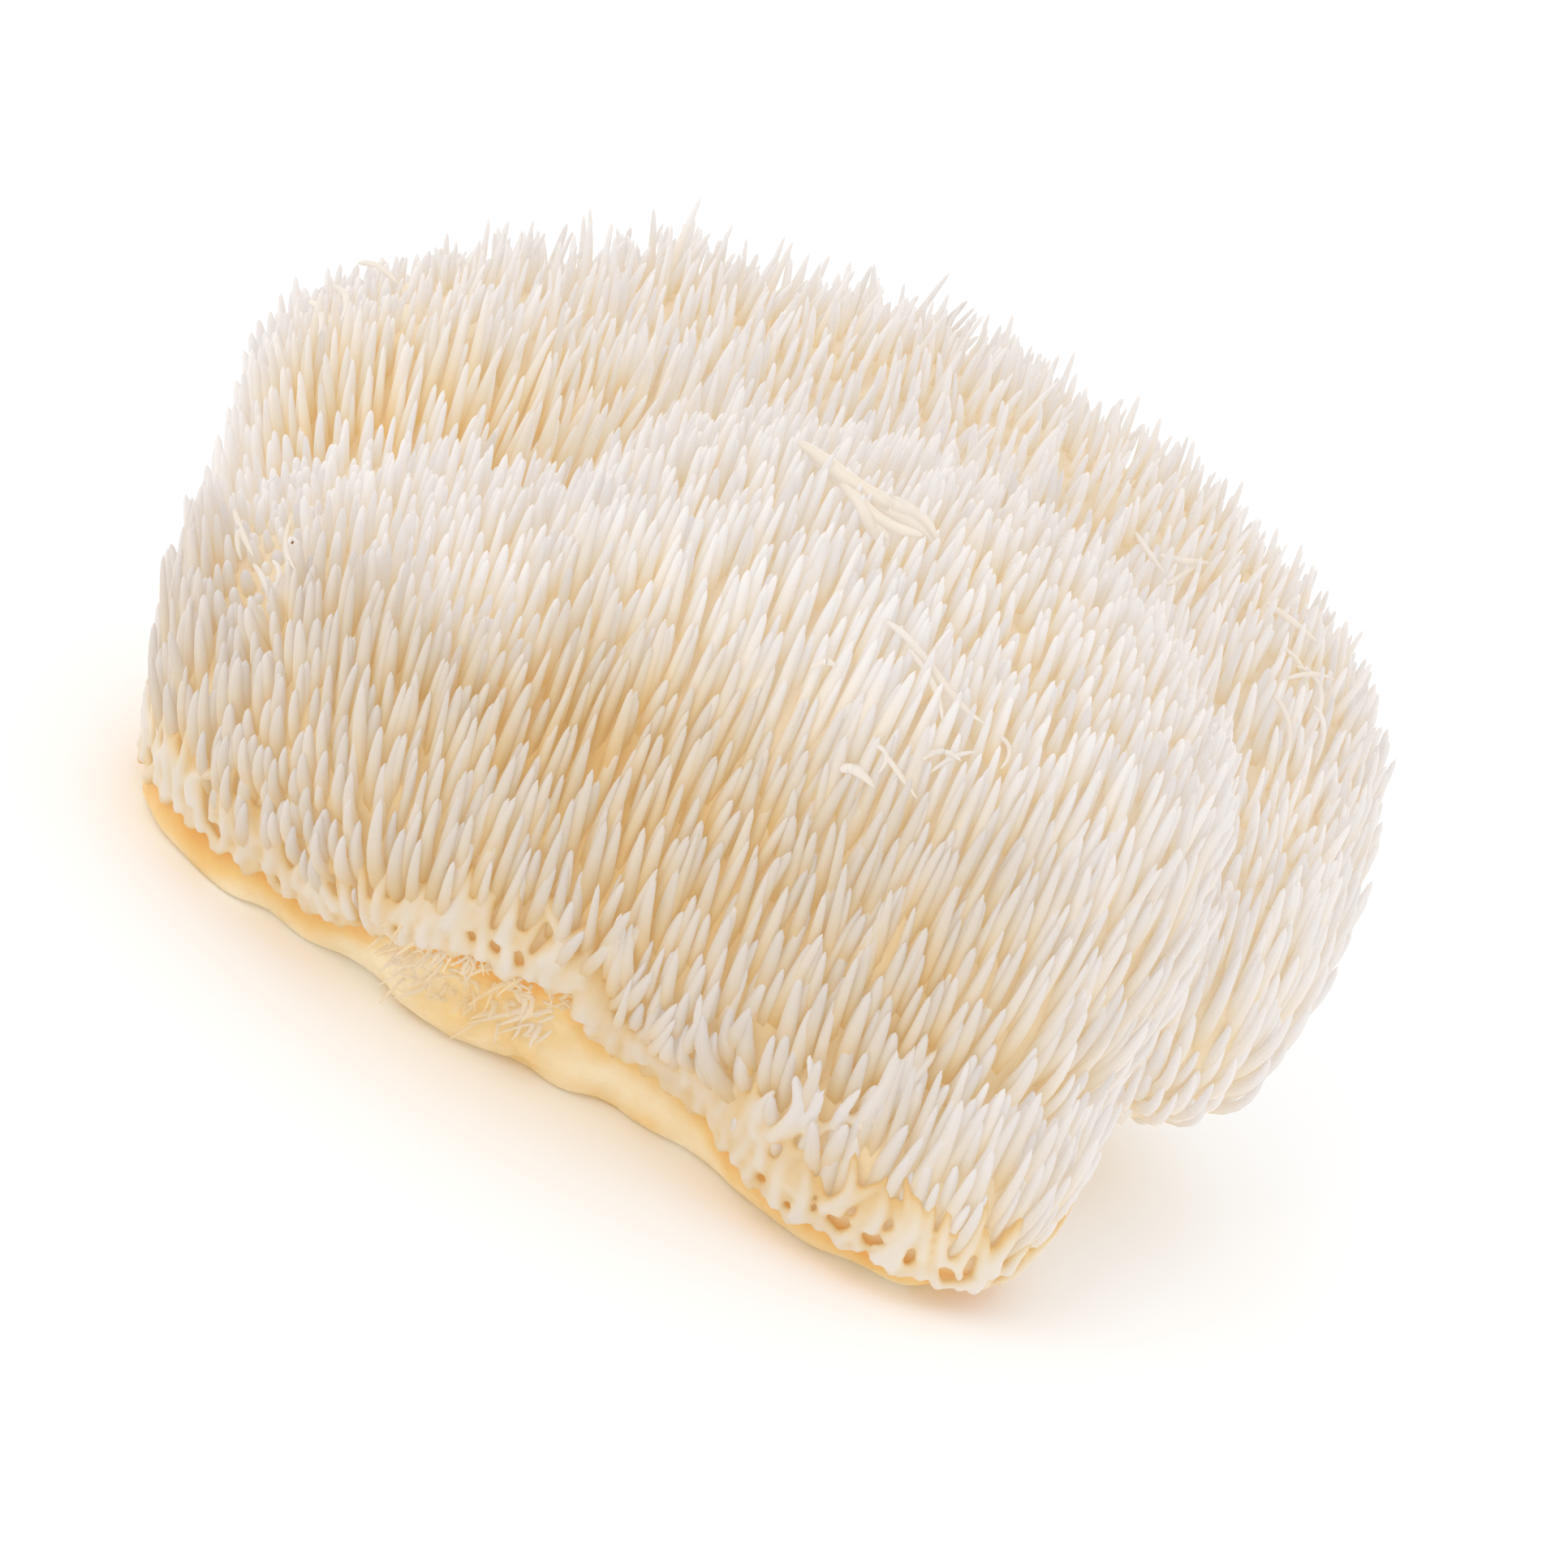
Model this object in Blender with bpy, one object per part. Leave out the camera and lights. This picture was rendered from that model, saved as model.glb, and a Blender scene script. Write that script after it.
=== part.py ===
"""Lion's mane mushroom: one fruit body, cut flat where it grew and resting on the cut, spines up.

The flesh is a cushion of lobes blended into one another, with a valley between the front and the
back lobe. It is netted into even four-sided facets, and every facet above the bare skin at the
foot carries one spine, so the spines stand shoulder to shoulder and are one solid with the flesh.
Metres, +Z up, origin in the middle of the cut, the broad side that faces the viewer toward -Y.
"""

from collections import namedtuple

import bmesh
import bpy
import numpy as np

MM = 0.001

# A lobe's centre and half sizes in mm. Squareness 2 is an ellipsoid, more has flatter sides.
Lobe = namedtuple("Lobe", "centre radii squareness")
FRONT_LEFT = Lobe((-25, -22, 28.5), (31, 24, 21.5), 2.2)
FRONT_RIGHT = Lobe((11, -25, 39.5), (44, 23, 36.5), 2.4)
LOW_FRONT = Lobe((35, -30, 9.5), (22, 17, 14), 2.2)
TORN_LIP = Lobe((-20, -33, 11), (19, 10, 8), 2.2)
BACK = Lobe((9, 25, 37), (62, 22, 37.5), 2.2)
LEFT_SHOULDER = Lobe((-49, 20, 33), (24, 21, 24), 2.3)
LEFT_END = Lobe((-48, -3, 16), (21, 28, 25), 2.2)
RIGHT_END = Lobe((56, 17, 27), (17, 23, 23), 2.3)
FOOT = Lobe((-5, 3, 6), (50, 33, 22), 2.6)
FRONT_LOBES = (FRONT_LEFT, FRONT_RIGHT, LOW_FRONT, TORN_LIP)
BACK_LOBES = (BACK, LEFT_SHOULDER, LEFT_END, RIGHT_END)
BLEND = 5 * MM
VALLEY_BLEND = 12 * MM

LUMP_HEIGHT = 1.0 * MM
LUMP_LENGTH = 26 * MM

# The room that the lobes fill, from its low corner to its high one
ROOM = np.array(((-78.3, -67, -16.6), (81.7, 63, 88.4))) * MM
FACET = 5.1 * MM
EVENING_ROUNDS = 6

# How high the bare skin reaches: round the sides and back, and in front as pairs of across and up in mm
BARE_SKIN_HEIGHT = 6.5 * MM
BARE_SKIN_WAVE = 0.9 * MM
BARE_FRONT = ((-60, 7), (-32, 8.5), (-28, 13), (-7, 17), (3, 11), (14, 8.9), (28, 5), (44, 4.5), (60, 7))
FRONT_START = 8 * MM
FRONT_FULL = 26 * MM
SPINE_LENGTH_TOP = 16 * MM
SPINE_LENGTH_FLANK = 18 * MM
SPINE_LENGTH_FOOT = 13 * MM
SPINE_LENGTH_SPREAD = 0.12
SPINE_SHARE_IN_VALLEY = 0.4
VALLEY_ROOM = 14 * MM
SPINE_LEAN_OUT = 0.25
SPINE_LEAN_UNDER = 0.55
SPINE_LEAN_LEFT = 0.06
CUT_SNAP = 1.2 * MM
SAME_SPOT = 0.001 * MM
SEED = 7

IVORY = (0.90, 0.80, 0.66, 1.0)


def lobe_distance(points, lobe):
    """About how far points are outside a lobe, and negative inside it."""
    centre = np.array(lobe.centre) * MM
    radii = np.array(lobe.radii) * MM
    power = lobe.squareness
    share = np.abs(points - centre) / radii + 1e-6
    reach = (share**power).sum(axis=-1) ** (1 / power)
    slope = np.linalg.norm(share ** (power - 1) / radii, axis=-1) * reach ** (1 - power)
    return (reach - 1) / slope


def blended(first, second, width=BLEND):
    """The smooth minimum, which rounds the valley where two lobes meet."""
    share = np.clip(0.5 + 0.5 * (second - first) / width, 0, 1)
    return second * (1 - share) + first * share - width * share * (1 - share)


def group_distance(points, lobes):
    """About how far points are outside some lobes blended together."""
    distance = lobe_distance(points, lobes[0])
    for lobe in lobes[1:]:
        distance = blended(distance, lobe_distance(points, lobe))
    return distance


def flesh_distance(points):
    """About how far points are outside the flesh, and negative inside it."""
    distance = blended(group_distance(points, FRONT_LOBES), group_distance(points, BACK_LOBES), VALLEY_BLEND)
    distance = blended(distance, lobe_distance(points, FOOT), VALLEY_BLEND)
    x, y, z = np.moveaxis(points / LUMP_LENGTH, -1, 0)
    lumps = np.sin(2.1 * x + 0.7 * z + 1.0) * np.sin(1.9 * y - 0.8 * z + 0.4) * np.sin(2.3 * z + 1.1 * x)
    return distance - LUMP_HEIGHT * lumps


def outward(points):
    """The flesh's outward direction at points, from how its distance grows."""
    step = 0.3 * MM
    slope = [flesh_distance(points + step * axis) - flesh_distance(points - step * axis) for axis in np.eye(3)]
    slope = np.stack(slope, axis=1)
    return slope / (np.linalg.norm(slope, axis=1, keepdims=True) + 1e-12)


def flesh_net():
    """A net of four-sided facets over the flesh, with one corner in each cell that its surface crosses."""
    axes = [np.arange(low, high, FACET) for low, high in ROOM.T]
    grid = np.stack(np.meshgrid(*axes, indexing="ij"), axis=-1)
    distance = flesh_distance(grid)
    corner_sum = np.zeros(grid.shape)
    corner_count = np.zeros(distance.shape)
    quads = []
    for axis in range(3):
        unit = np.eye(3, dtype=int)[axis]
        side, other = np.roll(np.eye(3, dtype=int), -axis - 1, axis=0)[:2]
        inside = distance < 0
        crossing = np.argwhere(inside != np.roll(inside, -1, axis=axis))
        start = distance[tuple(crossing.T)]
        end = distance[tuple((crossing + unit).T)]
        points = grid[tuple(crossing.T)] + (start / (start - end))[:, None] * FACET * unit
        ring = [crossing, crossing - side, crossing - side - other, crossing - other]
        for cells in ring:
            np.add.at(corner_sum, tuple(cells.T), points)
            np.add.at(corner_count, tuple(cells.T), 1)
        ring = np.stack([np.ravel_multi_index(tuple(cells.T), distance.shape) for cells in ring], axis=1)
        quads.append(np.where((start < 0)[:, None], ring, ring[:, ::-1]))
    quads = np.concatenate(quads)
    used, quads = np.unique(quads, return_inverse=True)
    quads = quads.reshape(-1, 4)
    corners = corner_sum.reshape(-1, 3)[used] / corner_count.reshape(-1)[used][:, None]
    return evened(corners, quads), quads


def evened(corners, quads):
    """Moves each corner to the middle of its facets, then back onto the flesh."""
    for _ in range(EVENING_ROUNDS):
        middles = corners[quads].mean(axis=1)
        total = np.zeros(corners.shape)
        count = np.zeros(len(corners))
        for corner in quads.T:
            np.add.at(total, corner, middles)
            np.add.at(count, corner, 1)
        corners = total / count[:, None]
        corners = corners - outward(corners) * flesh_distance(corners)[:, None]
    return corners


def bare_skin_top(points):
    """How high the bare skin reaches above the cut. In front it is highest over the torn lip."""
    x, y = points[:, 0], points[:, 1]
    front = np.interp(x, *np.array(BARE_FRONT).T * MM)
    share = np.clip((-y - FRONT_START) / (FRONT_FULL - FRONT_START), 0, 1)
    wave = BARE_SKIN_WAVE * np.sin(5 * np.arctan2(y, x) + 0.6)
    return BARE_SKIN_HEIGHT * (1 - share) + front * share + wave


def spine_directions(points):
    """Up and a little to the left, leaning out from the flanks, and further out under a bulge."""
    normals = outward(points)
    from_axis = points * (1, 1, 0)
    from_axis /= np.linalg.norm(from_axis, axis=1, keepdims=True) + 1e-9
    facing_out = np.clip((normals * from_axis).sum(axis=1), 0, 1)
    under = np.clip(-normals[:, 2], 0, 1)
    lean = facing_out * (SPINE_LEAN_OUT + SPINE_LEAN_UNDER * under)
    directions = np.array((-SPINE_LEAN_LEFT, 0, 1)) + lean[:, None] * normals
    return directions / np.linalg.norm(directions, axis=1, keepdims=True)


def spine_lengths(points):
    """Shorter near the foot, where spines begin, and each a little different."""
    rise = np.clip((points[:, 2] - BARE_SKIN_HEIGHT) / (30 * MM), 0, 1)
    top = np.clip(outward(points)[:, 2], 0, 1)
    flank = SPINE_LENGTH_FOOT + (SPINE_LENGTH_FLANK - SPINE_LENGTH_FOOT) * rise
    length = flank + (SPINE_LENGTH_TOP - flank) * top
    room = np.maximum(group_distance(points, FRONT_LOBES), group_distance(points, BACK_LOBES))
    length = length * np.clip(room / VALLEY_ROOM, SPINE_SHARE_IN_VALLEY, 1)
    spread = np.random.default_rng(SEED).uniform(-1, 1, len(points))
    return length * (1 + SPINE_LENGTH_SPREAD * spread)


def flesh_mesh():
    """The netted flesh as one closed mesh, cut flat at the foot."""
    mesh = bmesh.new()
    corners, quads = flesh_net()
    corners[np.abs(corners[:, 2]) < CUT_SNAP, 2] = 0
    verts = [mesh.verts.new(corner) for corner in corners]
    for quad in quads:
        mesh.faces.new([verts[corner] for corner in quad])
    everything = mesh.verts[:] + mesh.edges[:] + mesh.faces[:]
    bmesh.ops.bisect_plane(mesh, geom=everything, dist=SAME_SPOT, plane_no=(0, 0, 1), clear_inner=True)
    bmesh.ops.remove_doubles(mesh, verts=mesh.verts, dist=SAME_SPOT)
    rim = [edge for edge in mesh.edges if edge.is_boundary]
    bmesh.ops.contextual_create(mesh, geom=rim)
    bmesh.ops.recalc_face_normals(mesh, faces=mesh.faces[:])
    return mesh


def grow_spines(mesh):
    """Draws every facet above the bare skin out into one spine."""
    mesh.faces.ensure_lookup_table()
    middles = np.array([face.calc_center_median() for face in mesh.faces])
    spiny = middles[:, 2] > bare_skin_top(middles)
    faces = [face for face, is_spiny in zip(mesh.faces, spiny) if is_spiny]
    tips = bmesh.ops.poke(mesh, faces=faces)["verts"]
    roots = np.array([tip.co for tip in tips])
    reach = spine_directions(roots) * spine_lengths(roots)[:, None]
    for tip, point in zip(tips, roots + reach):
        tip.co = point


def centre_over_cut(mesh):
    """Slides the mesh sideways, so its box is centred on the origin."""
    corners = np.array([corner.co for corner in mesh.verts])
    middle = (corners.min(axis=0) + corners.max(axis=0)) / 2
    bmesh.ops.translate(mesh, verts=mesh.verts, vec=(-middle[0], -middle[1], 0))


def flesh_material():
    """Ivory mushroom flesh, satin where it is fresh."""
    material = bpy.data.materials.new("ivory_mushroom_flesh")
    material.use_nodes = True
    shader = material.node_tree.nodes["Principled BSDF"]
    shader.inputs["Base Color"].default_value = IVORY
    shader.inputs["Roughness"].default_value = 0.55
    shader.inputs["Metallic"].default_value = 0.0
    return material


def fruit_body():
    mesh = flesh_mesh()
    grow_spines(mesh)
    centre_over_cut(mesh)
    data = bpy.data.meshes.new("fruit_body")
    mesh.to_mesh(data)
    mesh.free()
    body = bpy.data.objects.new("fruit_body", data)
    body.data.materials.append(flesh_material())
    bpy.context.scene.collection.objects.link(body)
    return body


def main():
    for old in list(bpy.data.objects):
        bpy.data.objects.remove(old)
    fruit_body()


main()
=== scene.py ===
"""Lion's mane mushroom: the looks of the fruit body, grown over its solid.

The flesh, its folded fringe and several thousand fine spines stand for the faceted solid. They
follow the same lobes, so they fill the same room. Metres, +Z up, the broad front toward -Y.
"""

import math
from collections import namedtuple

import bpy
import numpy as np
from mathutils import Matrix, Vector, noise


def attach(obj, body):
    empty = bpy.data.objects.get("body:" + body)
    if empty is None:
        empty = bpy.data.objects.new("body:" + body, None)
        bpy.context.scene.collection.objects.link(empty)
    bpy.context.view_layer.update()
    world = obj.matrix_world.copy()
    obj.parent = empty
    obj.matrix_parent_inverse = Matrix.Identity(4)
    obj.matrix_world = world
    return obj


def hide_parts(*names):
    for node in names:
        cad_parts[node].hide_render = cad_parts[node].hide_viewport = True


bl_info = {
    "name": "Lion's Mane Mushroom",
    "version": (1, 0, 0),
    "blender": (4, 5, 0),
    "location": "View3D > Sidebar > Mushroom",
    "description": "Grows a lion's mane mushroom over its solid, and sets a plain studio round it",
    "category": "Add Mesh",
}

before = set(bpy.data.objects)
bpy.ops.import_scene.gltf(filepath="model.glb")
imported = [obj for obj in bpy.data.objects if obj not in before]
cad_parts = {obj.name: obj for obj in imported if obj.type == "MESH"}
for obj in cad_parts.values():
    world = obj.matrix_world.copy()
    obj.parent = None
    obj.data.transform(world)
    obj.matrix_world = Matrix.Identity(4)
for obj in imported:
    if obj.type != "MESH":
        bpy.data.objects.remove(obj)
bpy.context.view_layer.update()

MM = 0.001
NODE = "fruit_body"

# A lobe's centre and half sizes in mm. Squareness 2 is an ellipsoid, more has flatter sides.
Lobe = namedtuple("Lobe", "centre radii squareness")
FRONT_LEFT = Lobe((-25, -22, 28.5), (31, 24, 21.5), 2.2)
FRONT_RIGHT = Lobe((11, -25, 39.5), (44, 23, 36.5), 2.4)
LOW_FRONT = Lobe((35, -30, 9.5), (22, 17, 14), 2.2)
TORN_LIP = Lobe((-20, -33, 11), (19, 10, 8), 2.2)
BACK = Lobe((9, 25, 37), (62, 22, 37.5), 2.2)
LEFT_SHOULDER = Lobe((-49, 20, 33), (24, 21, 24), 2.3)
LEFT_END = Lobe((-48, -3, 16), (21, 28, 25), 2.2)
RIGHT_END = Lobe((56, 17, 27), (17, 23, 23), 2.3)
FOOT = Lobe((-5, 3, 6), (50, 33, 22), 2.6)
FRONT_LOBES = (FRONT_LEFT, FRONT_RIGHT, LOW_FRONT, TORN_LIP)
BACK_LOBES = (BACK, LEFT_SHOULDER, LEFT_END, RIGHT_END)
BLEND = 5 * MM
VALLEY_BLEND = 12 * MM

# The room that the lobes fill, from its low corner to its high one
ROOM = np.array(((-80, -67, -4), (80, 63, 85))) * MM
UP = np.array((0.0, 0.0, 1.0))

# Where the fringe hangs in front: across and up, in mm
FRONT_FRINGE = (
    (-60, 7), (-38, 7), (-32, 8.5), (-28, 13), (-21, 16.8), (-12, 16.9), (-7, 18), (-2, 13),
    (3, 11), (9, 9), (14, 8.9), (20, 7), (28, 5), (44, 4.5), (60, 7),
)

# The crease where the front lobe overhangs the low one: across and up, in mm
CREASE = ((9, 9), (14, 8.9), (18.3, 9.4), (23.8, 14.3), (27.7, 17.9), (30.9, 20.4), (34.1, 25.1), (35.5, 29))

# Where painted shade and glow make the flesh between the spines warmest, in the middle of the front
WARM_HEART = np.array((-12, -46, 42)) * MM
WARM_SIZE = np.array((34, 25, 16)) * MM

# How far the mat of fused spine ends stands above the flesh, and out from it
MAT_RISE = 7 * MM
MAT_DEPTH = 1.2 * MM

# How far the foot draws in at the cut
FOOT_WAIST = 1.6 * MM

# Torn and fallen bits that lie on the spines: the radius in mm, and places along the bit in mm
LOOSE_BITS = (
    (1.15, ((-12, -30.3, 88.5), (-5.5, -32.8, 88.2), (-0.5, -34.6, 88.4), (3.5, -33.9, 88.6), (8, -36.1, 87.6))),
    (0.9, ((-10, -30.3, 87.5), (-4.5, -33, 87.4), (0.5, -34.6, 87.6), (5.5, -34.4, 87.3), (8, -36.5, 86.6))),
    (0.8, ((-5.5, -33, 87.2), (-2, -37.5, 87.7), (0.5, -37.2, 85.6), (3, -37.8, 85.1))),
    (0.7, ((-3.5, -35.7, 88.5), (0.5, -37.1, 87.3), (4, -38, 87.7), (6, -38.9, 88.5))),
    (1.1, ((-1, -36.8, 87.3), (1, -36.6, 86.3), (2.5, -38.1, 85.8))),
    (0.55, ((6.5, -46.3, 79.7), (11.5, -46.1, 78.4), (17, -46.5, 75.7), (22.5, -47.7, 74.5))),
    (0.4, ((10.5, -46.5, 78.1), (15, -47.5, 75.9), (18, -48.9, 72.8))),
    (0.7, ((10, -50.6, 62), (11.5, -50.4, 62.9), (14.5, -50.5, 62))),
    (0.45, ((1.5, -49, 71.2), (2.5, -49.1, 72.9), (4, -48.6, 72.7))),
    (0.4, ((14, -50.6, 66.4), (16, -50.7, 65.3), (19.5, -50.9, 63.4))),
    (0.35, ((12, -50.5, 66.9), (14, -50.6, 66.4), (14, -50.7, 63.8))),
    (0.4, ((18, -52, 68.8), (19.5, -48.5, 69.2), (22, -50, 69.9))),
    (0.35, ((19.5, -50, 66.9), (21.1, -48.4, 69.2), (23.1, -47.8, 70.8))),
    (0.35, ((24.6, -45.7, 73.1), (26.6, -45.3, 71.9), (26.6, -47.5, 70.2))),
    (0.5, ((33.2, 10.8, 80.2), (36.2, 12.6, 80.3), (39.2, 15.2, 80.6))),
    (0.45, ((35.6, 8.4, 78.2), (37.1, 12.9, 79.2), (38, 13.3, 81.5))),
    (0.4, ((29.2, 11.5, 81.2), (32.1, 7.8, 80.8), (34.6, 8.9, 79.1))),
    (0.45, ((-70.3, -14.4, 40.5), (-68, -18.2, 40), (-65, -23.7, 40.2))),
    (0.4, ((-68.6, -15.4, 40.1), (-68, -19.4, 39.5), (-66.2, -21.1, 37.8))),
    (0.4, ((-64.5, -24.6, 39.7), (-62.3, -29.8, 40.9), (-60.9, -31.4, 40))),
    (0.35, ((-62.4, -27.6, 42.6), (-60.7, -32.4, 43.8), (-60.4, -31.6, 41.1))),
    (0.35, ((-62.8, -23.6, 47.1), (-61.8, -27.2, 45.1), (-59.1, -33.9, 45.8))),
    (0.45, ((-75, 15.4, 57.1), (-72.3, 6.7, 59.8), (-71.3, 3.8, 58.2))),
    (0.45, ((-72.2, 24.6, 60.8), (-69.5, 20.3, 63.4), (-66.1, 18.1, 63.3))),
    (0.4, ((-72.5, 6, 64.2), (-70.2, 2.8, 65), (-69.2, -2.2, 64.1))),
    (0.45, ((47.7, 15.7, 79), (51.2, 17.7, 77.7), (55.7, 18.7, 76.3))),
    (0.4, ((51.8, 16.7, 74.5), (56.3, 16, 72.3), (57.8, 13.3, 67.6))),
    (0.4, ((54.7, 15.4, 73.5), (58.8, 16.8, 71.4), (60.3, 13.1, 65.9))),
    (0.35, ((54.2, 12.8, 72.5), (56.7, 16, 73.2), (59.8, 19.5, 72.6))),
    (0.4, ((53.7, 10.4, 70.6), (57.3, 12, 67), (58.8, 9.9, 62.6))),
    (0.35, ((58.8, 15.6, 69.7), (61.2, 13.7, 68.3), (62.3, 12.8, 63.6))),
)

# Two dark specks of dried matter, in mm
SPECKS = ((-61, -30, 47), (50, -36, 27))


# Shape of the flesh


def lobe_distance(points, lobe):
    """About how far points are outside a lobe, and negative inside it."""
    centre = np.array(lobe.centre) * MM
    radii = np.array(lobe.radii) * MM
    power = lobe.squareness
    share = np.abs(points - centre) / radii + 1e-6
    reach = (share**power).sum(axis=-1) ** (1 / power)
    slope = np.linalg.norm(share ** (power - 1) / radii, axis=-1) * reach ** (1 - power)
    return (reach - 1) / slope


def blended(first, second, width=BLEND):
    """The smooth minimum, which rounds the valley where two lobes meet."""
    share = np.clip(0.5 + 0.5 * (second - first) / width, 0, 1)
    return second * (1 - share) + first * share - width * share * (1 - share)


def group_distance(points, lobes):
    """About how far points are outside some lobes blended together."""
    distance = lobe_distance(points, lobes[0])
    for lobe in lobes[1:]:
        distance = blended(distance, lobe_distance(points, lobe))
    return distance


def valley_room(points):
    """How far the farther group of lobes is, which is small in the valley between the two."""
    return np.maximum(group_distance(points, FRONT_LOBES), group_distance(points, BACK_LOBES))


def flesh_distance(points):
    """About how far points are outside the flesh, and negative inside it."""
    distance = blended(group_distance(points, FRONT_LOBES), group_distance(points, BACK_LOBES), VALLEY_BLEND)
    distance = blended(distance, lobe_distance(points, FOOT), VALLEY_BLEND)
    x, y, z = np.moveaxis(points / (26 * MM), -1, 0)
    lumps = np.sin(2.1 * x + 0.7 * z + 1.0) * np.sin(1.9 * y - 0.8 * z + 0.4) * np.sin(2.3 * z + 1.1 * x)
    return distance - 1.0 * MM * lumps


def mat_distance(points):
    """About how far points are outside the mat that the spines' lower ends fuse into."""
    x, y, z = np.moveaxis(points, -1, 0)
    covered = smoothstep(2 * MM, 12 * MM, z) * smoothstep(1 * MM, 13 * MM, valley_room(points))
    crest = 0.4 * smoothstep(-26 * MM, -38 * MM, x) * smoothstep(-60 * MM, -50 * MM, x)
    crest = crest * smoothstep(0, 12 * MM, y)
    left_end = smoothstep(-48 * MM, -64 * MM, x) * smoothstep(12 * MM, 26 * MM, z)
    lower = points - UP * (MAT_RISE * covered * (1 + crest))[..., None]
    rim = 0.35 * np.sin(x / (2.6 * MM) + 1.3 * np.sin(x / (7 * MM))) + 1.8 * smoothstep(14 * MM, 30 * MM, x) - 0.6
    waist = FOOT_WAIST * (1 - smoothstep(0, 8 * MM, z)) * rim
    return flesh_distance(lower) - MAT_DEPTH * covered * (1 + left_end) + waist


def outward(points):
    """The mat's outward direction at points, from how its distance grows."""
    step = 0.3 * MM
    slope = [mat_distance(points + step * axis) - mat_distance(points - step * axis) for axis in np.eye(3)]
    return unit(np.stack(slope, axis=1))


def unit(vectors):
    return vectors / (np.linalg.norm(vectors, axis=-1, keepdims=True) + 1e-12)


def smoothstep(low, high, value):
    share = np.clip((value - low) / (high - low), 0, 1)
    return share * share * (3 - 2 * share)


def waves(points, length, seed):
    """Smooth noise between -1 and 1, one value a point, with bumps about length apart."""
    shift = Vector((seed * 7.31, seed * 3.17, seed * 5.53))
    return np.array([noise.noise(Vector(point) / length + shift) for point in points])


def wave_vectors(points, length, seed):
    """Smooth noise with three values a point."""
    return np.stack([waves(points, length, seed + part) for part in range(3)], axis=1)


def fringe_height(x, y):
    """How high above the cut the fringe hangs. Above the torn patch in front it hangs highest."""
    bearing = np.arctan2(y, x)
    wave = (0.9 * np.sin(5 * bearing + 0.6) + 0.6 * np.sin(13 * bearing)) * MM
    front = np.interp(x, *np.array(FRONT_FRINGE).T * MM)
    share = smoothstep(-8 * MM, -26 * MM, y)
    return 6.5 * MM * (1 - share) + front * share + wave


def surface_net(distance, low, high, cell):
    """A net of four-sided facets where distance is zero, one corner in each cell that the surface crosses."""
    axes = [np.arange(start, end, cell) for start, end in zip(low, high)]
    grid = np.stack(np.meshgrid(*axes, indexing="ij"), axis=-1)
    value = distance(grid)
    inside = value < 0
    corner_sum = np.zeros(grid.shape)
    corner_count = np.zeros(value.shape)
    quads = []
    for axis in range(3):
        step = np.eye(3, dtype=int)[axis]
        side, other = np.roll(np.eye(3, dtype=int), -axis - 1, axis=0)[:2]
        crossing = np.argwhere(inside != np.roll(inside, -1, axis=axis))
        crossing = crossing[(crossing < np.array(value.shape) - 1).all(axis=1) & (crossing > 0).all(axis=1)]
        start = value[tuple(crossing.T)]
        end = value[tuple((crossing + step).T)]
        points = grid[tuple(crossing.T)] + (start / (start - end))[:, None] * cell * step
        ring = [crossing, crossing - side, crossing - side - other, crossing - other]
        for cells in ring:
            np.add.at(corner_sum, tuple(cells.T), points)
            np.add.at(corner_count, tuple(cells.T), 1)
        ring = np.stack([np.ravel_multi_index(tuple(cells.T), value.shape) for cells in ring], axis=1)
        quads.append(np.where((start < 0)[:, None], ring, ring[:, ::-1]))
    quads = np.concatenate(quads)
    used, quads = np.unique(quads, return_inverse=True)
    corners = corner_sum.reshape(-1, 3)[used] / corner_count.reshape(-1)[used][:, None]
    return corners, quads.reshape(-1, 4)


# Small helpers for objects and node trees


def new_object(name, corners, faces):
    mesh = bpy.data.meshes.new(name)
    mesh.from_pydata([tuple(corner) for corner in corners], [], [tuple(face) for face in faces])
    mesh.update()
    thing = bpy.data.objects.new(name, mesh)
    bpy.context.scene.collection.objects.link(thing)
    return thing


def shade_smooth(thing):
    thing.data.shade_smooth()
    return thing


def store(mesh, name, values, kind="FLOAT", domain="POINT"):
    """Keeps one value for each corner or face in a named attribute."""
    attribute = mesh.attributes.new(name, kind, domain)
    key = "vector" if kind == "FLOAT_VECTOR" else "value"
    attribute.data.foreach_set(key, np.asarray(values).ravel())


def add(tree, kind, inputs=None, **settings):
    """Adds a node with its settings, and sets or links each of its inputs."""
    node = tree.nodes.new(kind)
    for name, value in settings.items():
        setattr(node, name, value)
    for name, value in (inputs or {}).items():
        if isinstance(value, bpy.types.Node):
            value = value.outputs[0]
        if isinstance(value, bpy.types.NodeSocket):
            tree.links.new(value, node.inputs[name])
        else:
            node.inputs[name].default_value = value
    return node


def linear(code):
    """A linear colour from an sRGB hex code."""
    channels = [int(code[place : place + 2], 16) / 255 for place in (1, 3, 5)]
    return tuple(c / 12.92 if c <= 0.04045 else ((c + 0.055) / 1.055) ** 2.4 for c in channels)


def ramp_stops(node, stops):
    """Sets a colour ramp's stops from places and colours."""
    elements = node.color_ramp.elements
    while len(elements) < len(stops):
        elements.new(0.5)
    for element, (place, colour) in zip(elements, stops):
        element.position = place
        element.color = (*colour, 1)


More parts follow.
